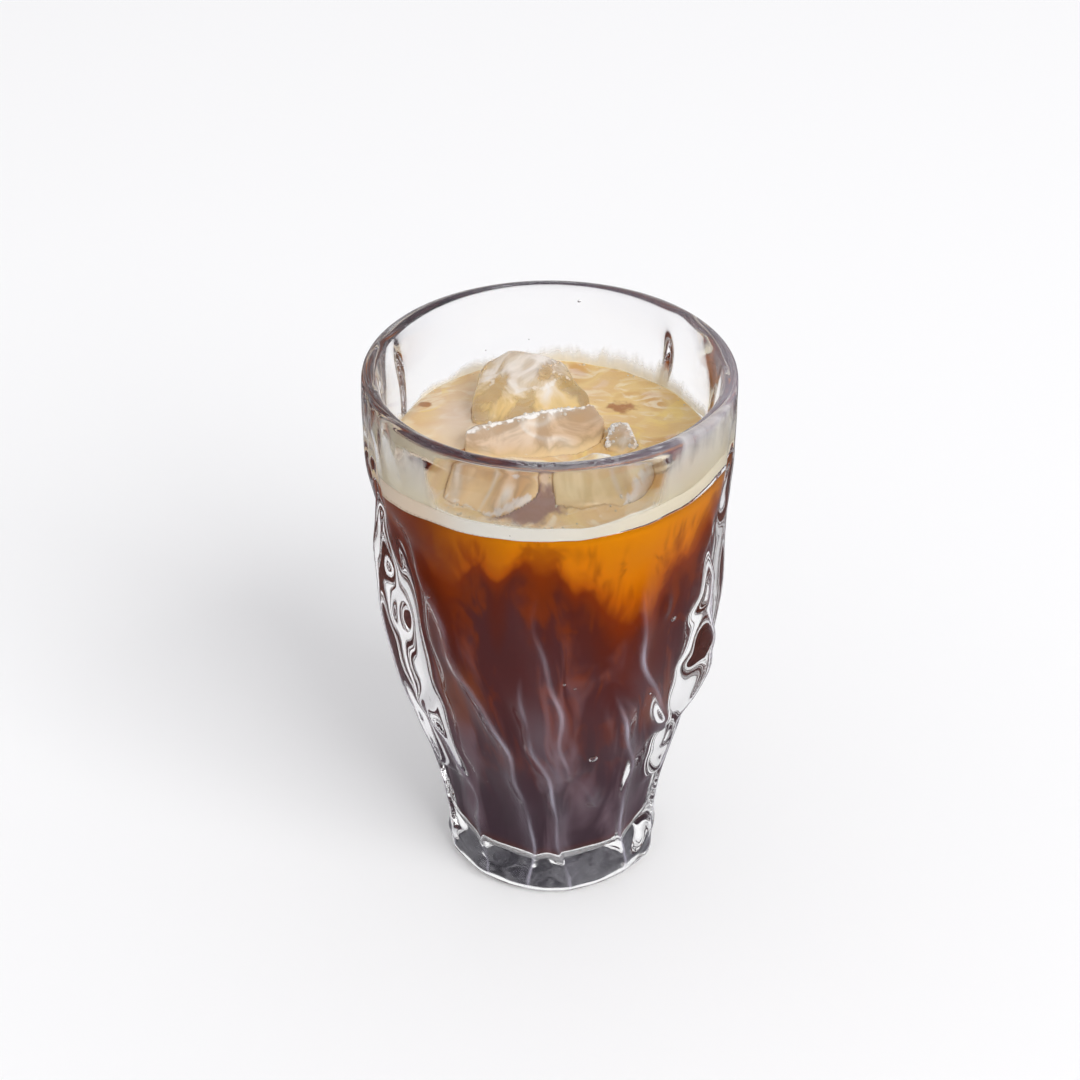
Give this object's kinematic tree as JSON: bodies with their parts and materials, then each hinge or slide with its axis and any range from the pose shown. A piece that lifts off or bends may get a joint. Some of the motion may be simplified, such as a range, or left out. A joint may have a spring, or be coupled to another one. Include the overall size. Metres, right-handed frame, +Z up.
{
  "type": "iced americano in a relief glass",
  "caption": "Tall clear glass with thick bark-like ridges, filled with iced black coffee under a thin pale crema, with melting ice blocks afloat below the rim.",
  "frame": {"origin": "middle of the base, on the surface the glass stands on", "axes": "+Z up along the glass's axis, -Y towards the front, +X to the right seen from the front"},
  "size_m": [0.0832, 0.0832, 0.133],
  "materials": {
    "clear_glass": "clear, fire-polished, thick, with flowing ridges",
    "coffee": "dark liquid, amber under its surface and near black below",
    "crema": "fine tan foam, paler along its edge",
    "ice": "wet, partly cloudy, tinted by the crema"
  },
  "bodies": {
    "root": {"glass": "clear_glass", "coffee": "coffee", "crema": "crema", "ice_1": "ice", "ice_2": "ice", "ice_3": "ice", "ice_4": "ice", "ice_5": "ice"}
  },
  "joints": []
}
